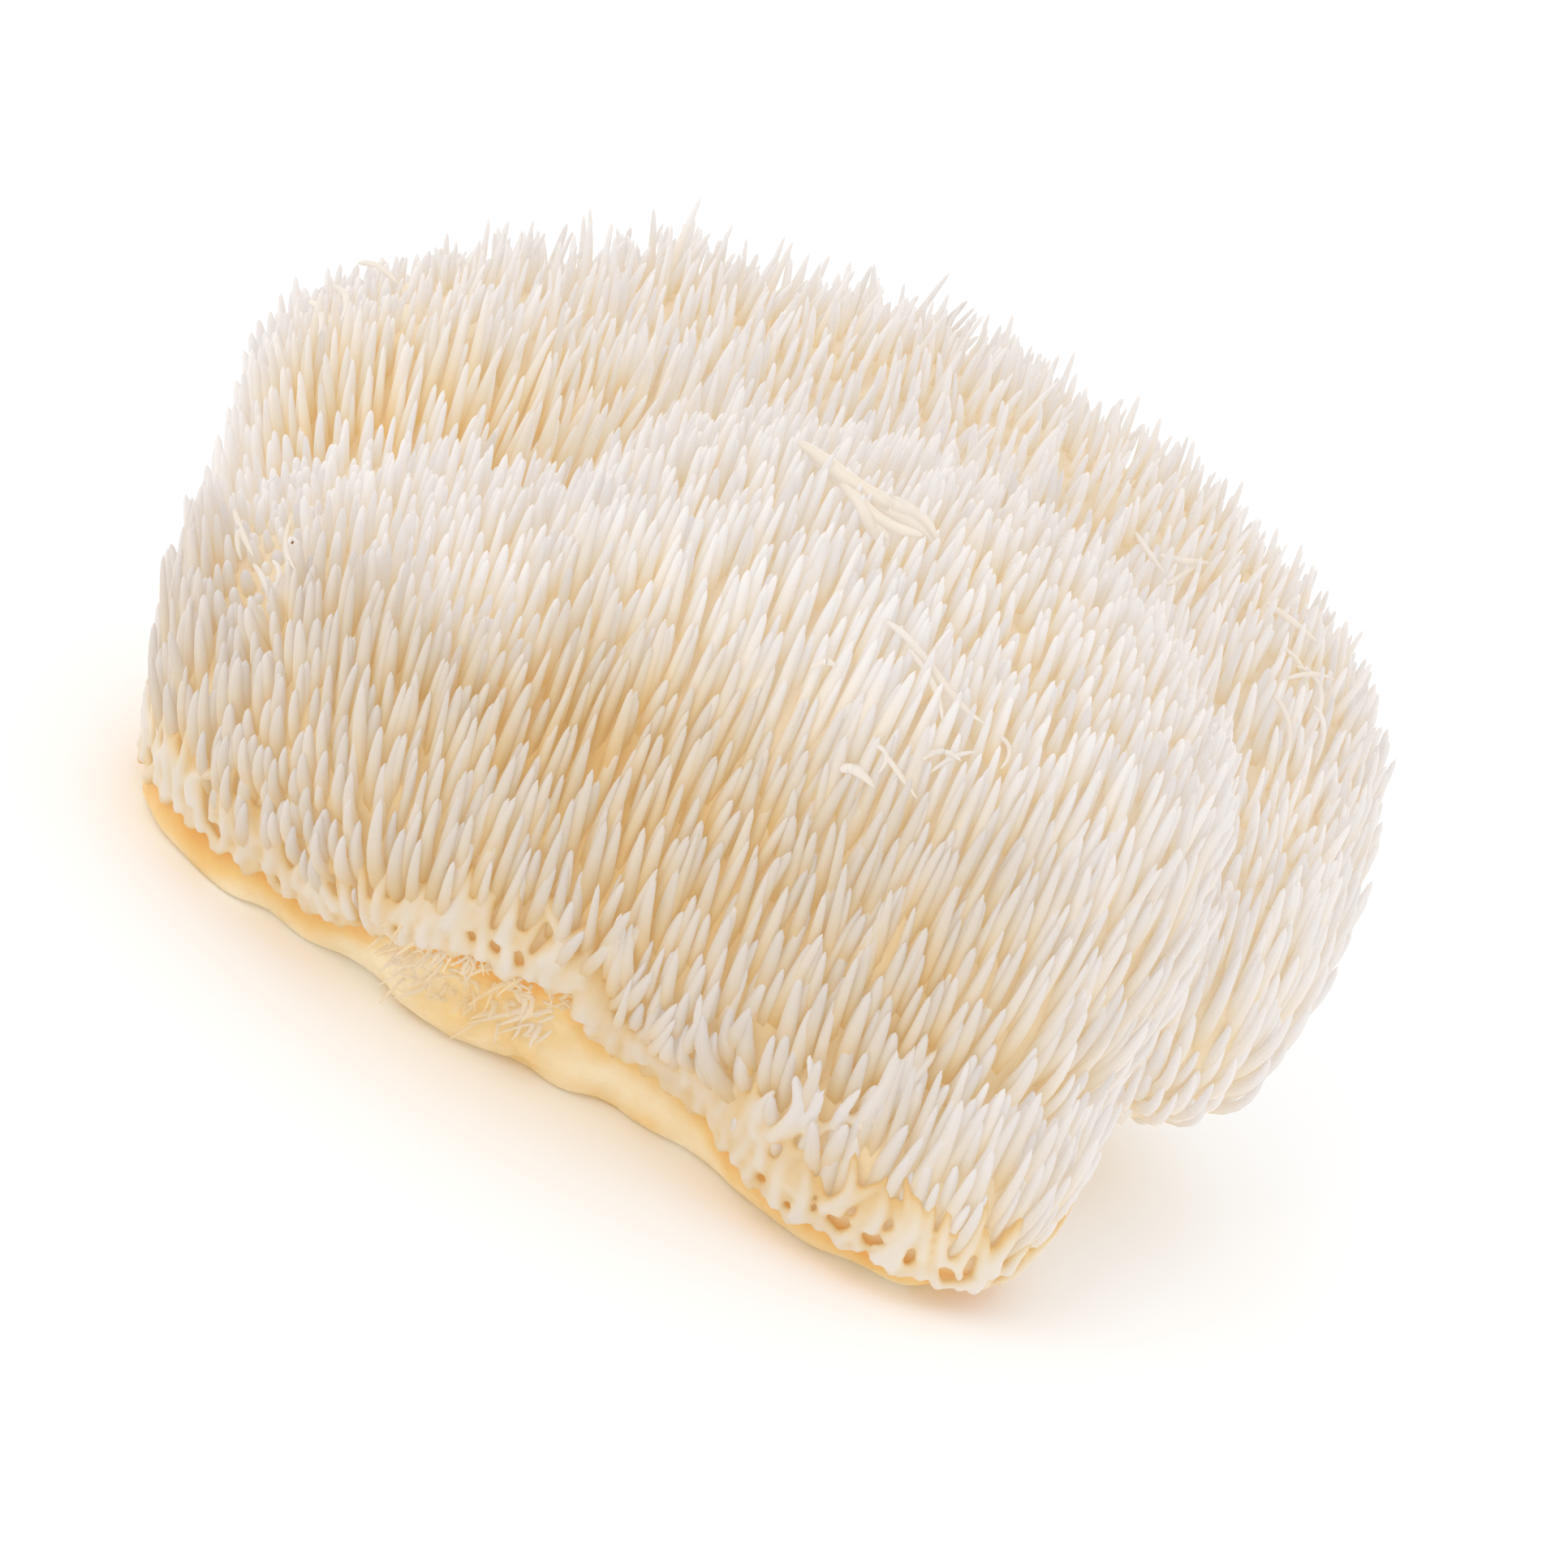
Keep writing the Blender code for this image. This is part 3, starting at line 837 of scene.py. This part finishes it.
class MUSHROOM_OT_flesh(bpy.types.Operator):
    """Grow the flesh that the spines stand on, cut flat at the foot"""

    bl_idname = "mushroom.flesh"
    bl_label = "Flesh"

    def execute(self, context):
        sizes = context.scene.mushroom_sizes

        def cut_flesh(points):
            return np.maximum(mat_distance(points), -points[..., 2])

        corners, quads = surface_net(cut_flesh, ROOM[0], ROOM[1], sizes.flesh_cell)
        normals = outward(corners)
        low = 1 - smoothstep(8 * MM, 16 * MM, corners[:, 2])
        folds = waves(corners * (1, 1, 0.5), 5 * MM, 21) * 0.8 * MM * low
        away_from_cut = smoothstep(0.2 * MM, 2 * MM, corners[:, 2])
        torn = np.exp(-(((corners[:, 0] + 16 * MM) / (13 * MM)) ** 4)) * (corners[:, 1] < -25 * MM) * low
        folds = folds + torn * (waves(corners, 2.6 * MM, 25) * 0.9 + waves(corners, 1.3 * MM, 27) * 0.5) * MM
        corners = corners + normals * (folds * away_from_cut)[:, None]
        corners[:, 2] = np.maximum(corners[:, 2], 0)
        piece = shade_smooth(new_object("flesh", corners, quads))
        height = corners[:, 2] - fringe_height(corners[:, 0], corners[:, 1])
        # Above the fringe the flesh is the spines' mat, coloured with their painted gap glow and shade
        store(piece.data, "mat", smoothstep(0, 3 * MM, height))
        # Painted shade just under the fringe, stronger at the torn patch
        store(piece.data, "under", smoothstep(-6 * MM, -0.5 * MM, height) * (0.7 + 0.5 * np.clip(torn, 0, 1)))
        store(piece.data, "warmth", 0.5 + 0.6 * warmth_of(corners, normals))
        finish_piece(piece, skin_material(context.scene.mushroom_colours))
        return {"FINISHED"}


def fringe_path():
    """Closely set points round the mushroom where the fringe hangs, on the outside of the mat."""
    bearing = np.linspace(0, 2 * math.pi, 900, endpoint=False)
    heading = np.stack([np.cos(bearing), np.sin(bearing), np.zeros(len(bearing))], axis=1)
    reach = np.arange(100 * MM, 15 * MM, -0.25 * MM)
    points = np.array((-3, -1, 0)) * MM + heading[:, None] * reach[:, None]
    points[..., 2] = fringe_height(points[..., 0], points[..., 1])
    first = (mat_distance(points) < 0).argmax(axis=1)
    return points[np.arange(len(points)), first]


def crease_path():
    """Closely set points along the crease, a little outside the mat."""
    across, up = np.array(CREASE).T * MM
    x = np.linspace(across[0], across[-1], 160)
    depth = np.arange(-75 * MM, -15 * MM, 0.25 * MM)
    points = np.stack(np.broadcast_arrays(x[:, None], depth, np.interp(x, across, up)[:, None]), axis=-1)
    first = (mat_distance(points) < 0).argmax(axis=1)
    points = points[np.arange(len(x)), first]
    return points + outward(points) * 0.5 * MM


def walked(path, steps):
    """Points at the given distances along a path, and the direction it runs there."""
    run = np.concatenate([[0], np.cumsum(np.linalg.norm(np.diff(path, axis=0), axis=1))])
    places = steps * run[-1] / steps[-1]
    points = np.stack([np.interp(places[:-1], run, path[:, axis]) for axis in range(3)], axis=1)
    return points, unit(np.gradient(points, axis=0))


def pushed_out(points, room):
    """Points moved out of the mat until they have room."""
    flat = points.reshape(-1, 3)
    for _ in range(2):
        short = np.maximum(room.ravel() - mat_distance(flat), 0)
        flat = flat + outward(flat) * short[:, None]
    return flat.reshape(points.shape)


def fringe_nubs(path, chance, row):
    """Thick short spines that start at the lip and lean into one another."""
    length = np.linalg.norm(np.diff(path, axis=0), axis=1).sum()
    steps = np.concatenate([[0], np.cumsum(chance.uniform(1.6, 3.4, int(length / (2.5 * MM))))])
    roots, sideways = walked(path, steps)
    count = len(roots)
    normals = outward(roots)
    along = np.linspace(0, 1, 7)
    reach = chance.uniform(7, 12, count) * MM
    aim = unit(spine_directions(roots, normals) + sideways * chance.normal(0, 0.22, (count, 1)))
    early = 1 - (1 - along) ** 2
    bend = sideways * chance.normal(0, 0.9, (count, 1)) * MM
    points = roots[:, None] + aim[:, None] * (reach[:, None] * along)[..., None]
    points = points + normals[:, None] * (1.6 * MM * early)[:, None] + bend[:, None] * np.sin(4 * along)[:, None]
    points = points + UP * (row * 3.2 * MM) - normals[:, None] * (0.4 * MM * row)
    thick = np.interp(along, (0, 0.3, 0.7, 0.93, 1), (0.95, 0.9, 0.72, 0.45, 0.12)) * MM
    widths = thick * chance.uniform(0.8, 1.2, (count, 1))
    return tubes(pushed_out(points, widths * 0.8 + 0.3 * MM), widths)


def fringe_lip(path):
    """The wavy lip itself: a tube that arches between hanging points."""
    run = np.concatenate([[0], np.cumsum(np.linalg.norm(np.diff(path, axis=0), axis=1))])
    phase = run / (1.8 * MM) + 1.3 * np.sin(run / (11 * MM))
    arch = np.abs(np.sin(phase))
    points = path + UP * ((arch * 2.6 - 1.2) * MM)[:, None]
    points = pushed_out(points[None], np.full((1, len(path)), 0.9 * MM))
    widths = (0.85 - 0.3 * arch + 0.15 * np.sin(run / (2.3 * MM)))[None] * MM
    return tubes(points, widths)


def fringe_links(path, chance):
    """Short strands from one nub to the next, which leave round holes under them."""
    length = np.linalg.norm(np.diff(path, axis=0), axis=1).sum()
    count = int(length / (4.5 * MM))
    start = chance.integers(0, len(path), count)
    reach = chance.uniform(2, 4, count) * MM * len(path) / length
    end = np.clip(start + (reach * chance.choice((-1, 1), count)).astype(int), 0, len(path) - 1)
    share = np.linspace(0, 1, 5)[:, None]
    low = path[start] + UP * (chance.uniform(0, 2.5, (count, 1)) * MM)
    high = path[end] + UP * (chance.uniform(1.5, 6, (count, 1)) * MM)
    points = low[:, None] * (1 - share) + high[:, None] * share
    points = points + UP * (0.8 * MM * np.sin(math.pi * share))
    widths = np.repeat(chance.uniform(0.4, 0.65, (count, 1)), 5, axis=1) * MM
    return tubes(pushed_out(points, widths + 0.7 * MM), widths)


class MUSHROOM_OT_fringe(bpy.types.Operator):
    """Hang the webbed fringe round the foot"""

    bl_idname = "mushroom.fringe"
    bl_label = "Fringe"

    def execute(self, context):
        chance = np.random.default_rng(context.scene.mushroom_sizes.seed)
        parts = []
        foot_path = fringe_path()
        for path, rows in ((np.concatenate([foot_path, foot_path[:1]]), (0, 1)), (crease_path(), (0,))):
            parts += [fringe_nubs(path, chance, row) for row in rows]
            parts.append(fringe_lip(path))
        parts.append(fringe_links(foot_path, chance))
        piece = fused("fringe", *joined(parts), 0.42 * MM)
        shade_smooth(piece)
        places = corner_places(piece.data)
        # Painted shade: pale out from the mat, orange deep in the holes near it
        out = smoothstep(0.5 * MM, 2.8 * MM, mat_distance(places))
        store(piece.data, "along", 0.95 * out)
        store(piece.data, "warmth", 0.2 + 0.5 * waves(places, 12 * MM, 33))
        store(piece.data, "tone", waves(places, 3 * MM, 31))
        # Painted shade low on the front
        store(piece.data, "shade", 0.7 * front_shade(places, outward(places)))
        finish_piece(piece, bpy.data.materials["fresh_fungal_spines"])
        piece.data.calc_loop_triangles()
        print("fringe", len(piece.data.loop_triangles))
        return {"FINISHED"}


def curved(places, count):
    """Evenly spaced points on the smooth curve through a few places."""
    share = np.linspace(0, 1, len(places))
    return np.stack([np.polyval(np.polyfit(share, axis, len(places) - 1), np.linspace(0, 1, count)) for axis in places.T])


def torn_fibres(chance, count):
    """Short frayed strands that stand out of the torn patch in front."""
    start = np.stack(
        [chance.uniform(-30, -6, count), np.full(count, -70.0), 16 - 11 * chance.uniform(0, 1, count) ** 1.6], axis=1
    ) * MM
    depth = np.arange(-75 * MM, -15 * MM, 0.25 * MM)
    line = np.repeat(start[:, None], len(depth), axis=1)
    line[..., 1] = depth
    first = (mat_distance(line) < 0).argmax(axis=1)
    roots = line[np.arange(count), first]
    aim = unit(outward(roots) * 0.35 + chance.normal(0, 0.8, (count, 3)) - UP * 0.1)
    along = np.linspace(0, 1, 6)
    reach = chance.uniform(1.4, 4, count) * MM
    sag = aim[:, [2, 0, 1]] * 0.5
    paths = roots[:, None] + (aim[:, None] * along[:, None] + sag[:, None] * (along**2)[:, None]) * reach[:, None, None]
    paths[..., 2] = np.maximum(paths[..., 2], 0.8 * MM)
    widths = np.interp(along, (0, 0.6, 1), (1, 0.8, 0.3)) * chance.uniform(0.2, 0.45, (count, 1)) * MM
    return tubes(paths, widths, 5)


class MUSHROOM_OT_loose_bits(bpy.types.Operator):
    """Lay the torn flap, fallen slivers, stray wisps and frayed strands on the mushroom"""

    bl_idname = "mushroom.loose_bits"
    bl_label = "Loose bits"

    def execute(self, context):
        chance = np.random.default_rng(context.scene.mushroom_sizes.seed + 1)
        taper = np.interp(np.linspace(0, 1, 14), (0, 0.12, 0.6, 0.9, 1), (0.35, 0.85, 1.0, 0.55, 0.15))
        parts = []
        for radius, places in LOOSE_BITS:
            path = curved(np.array(places) * MM, len(taper)).T
            parts.append(tubes(path[None], (taper * radius * MM)[None], 6))
        bit_count = sum(len(corners) for corners, _ in parts)
        parts.append(torn_fibres(chance, 180))
        corners, faces = joined(parts)
        piece = shade_smooth(new_object("loose_bits", corners, faces))
        fibre = np.arange(len(corners)) >= bit_count
        store(piece.data, "along", np.where(fibre, 0.32, 0.66))
        store(piece.data, "warmth", 0.5 * waves(corners, 7 * MM, 35) + 0.1 * fibre)
        store(piece.data, "tone", waves(corners, 3 * MM, 31))
        # Painted shade, a little on every bit and more on those low on the front
        store(piece.data, "shade", np.where(fibre, 0.2, 0.2 + 0.5 * front_shade(corners, outward(corners))))
        finish_piece(piece, bpy.data.materials["fresh_fungal_spines"])
        ball = np.array([(a, b, c) for a in (-1, 1) for b in (-1, 1) for c in (-1, 1)]) * 0.14 * MM
        sides = ((0, 1, 3, 2), (4, 6, 7, 5), (0, 4, 5, 1), (2, 3, 7, 6), (0, 2, 6, 4), (1, 5, 7, 3))
        corners, faces = joined([(ball + np.array(place) * MM, sides) for place in SPECKS])
        finish_piece(new_object("specks", corners, faces), speck_material(context.scene.mushroom_colours))
        return {"FINISHED"}


class MUSHROOM_OT_stage(bpy.types.Operator):
    """Set the camera, the soft studio light and the pale floor"""

    bl_idname = "mushroom.stage"
    bl_label = "Studio"

    def execute(self, context):
        scene = context.scene
        floor = new_object("floor", ((-6, -6, 0), (6, -6, 0), (6, 6, 0), (-6, 6, 0)), ((0, 1, 2, 3),))
        floor.location.z = -0.00002
        floor.data.materials.append(floor_material(scene.mushroom_colours))
        set_camera(scene)
        set_light(scene)
        return {"FINISHED"}


# The photograph's view: elevation and roll in degrees, distances in metres
VIEW_ELEVATION = 24
VIEW_ROLL = 27
VIEW_DISTANCE = 1.1
VIEW_WIDTH = 0.1932
VIEW_TARGET = (0.0, -0.002, 0.042)
VIEW_SLIDE = (0.0016, -0.0074)


def set_camera(scene):
    """The camera looks down at the broad front, and leans so the mushroom leans right as in the photograph."""
    elevation = math.radians(VIEW_ELEVATION)
    away = Vector((0, -math.cos(elevation), math.sin(elevation)))
    turn = away.to_track_quat("Z", "Y").to_matrix().to_4x4() @ Matrix.Rotation(math.radians(VIEW_ROLL), 4, "Z")
    right, up = turn.col[0].to_3d(), turn.col[1].to_3d()
    target = Vector(VIEW_TARGET) + right * VIEW_SLIDE[0] + up * VIEW_SLIDE[1]
    data = bpy.data.cameras.new("camera")
    data.lens = data.sensor_width * VIEW_DISTANCE / VIEW_WIDTH
    camera = bpy.data.objects.new("camera", data)
    turn.translation = target + away * VIEW_DISTANCE
    camera.matrix_world = turn
    scene.collection.objects.link(camera)
    scene.camera = camera


def add_softbox(scene, name, place, size, power):
    """A square soft light that faces the middle of the mushroom."""
    data = bpy.data.lights.new(name, "AREA")
    data.size = size
    data.energy = power
    light = bpy.data.objects.new(name, data)
    light.location = place
    light.rotation_euler = (Vector(place) - Vector(VIEW_TARGET)).to_track_quat("Z", "Y").to_euler()
    scene.collection.objects.link(light)


def set_light(scene):
    """A white room with one large soft key light from the upper left."""
    world = bpy.data.worlds.new("studio")
    world.use_nodes = True
    world.node_tree.nodes["Background"].inputs["Color"].default_value = (1, 1, 1, 1)
    world.node_tree.nodes["Background"].inputs["Strength"].default_value = 1.12
    scene.world = world
    scene.view_settings.view_transform = "Standard"
    add_softbox(scene, "key_light", (-0.5, -0.7, 0.9), 0.6, 2.5)


class MUSHROOM_PT_panel(bpy.types.Panel):
    bl_label = "Lion's Mane Mushroom"
    bl_idname = "MUSHROOM_PT_panel"
    bl_space_type = "VIEW_3D"
    bl_region_type = "UI"
    bl_category = "Mushroom"

    def draw(self, context):
        for group in (context.scene.mushroom_sizes, context.scene.mushroom_colours):
            for name in group.__annotations__:
                self.layout.prop(group, name)
        for operator in OPERATORS:
            self.layout.operator(operator.bl_idname)


OPERATORS = (MUSHROOM_OT_flesh, MUSHROOM_OT_spines, MUSHROOM_OT_fringe, MUSHROOM_OT_loose_bits, MUSHROOM_OT_stage)
CLASSES = (MushroomSizes, MushroomColours, *OPERATORS, MUSHROOM_PT_panel)


def register():
    for item in CLASSES:
        bpy.utils.register_class(item)
    bpy.types.Scene.mushroom_sizes = bpy.props.PointerProperty(type=MushroomSizes)
    bpy.types.Scene.mushroom_colours = bpy.props.PointerProperty(type=MushroomColours)


def unregister():
    del bpy.types.Scene.mushroom_colours
    del bpy.types.Scene.mushroom_sizes
    for item in reversed(CLASSES):
        bpy.utils.unregister_class(item)


def main():
    register()
    bpy.ops.mushroom.flesh()
    bpy.ops.mushroom.spines()
    bpy.ops.mushroom.fringe()
    bpy.ops.mushroom.loose_bits()
    bpy.ops.mushroom.stage()


if __name__ == "__main__":
    main()
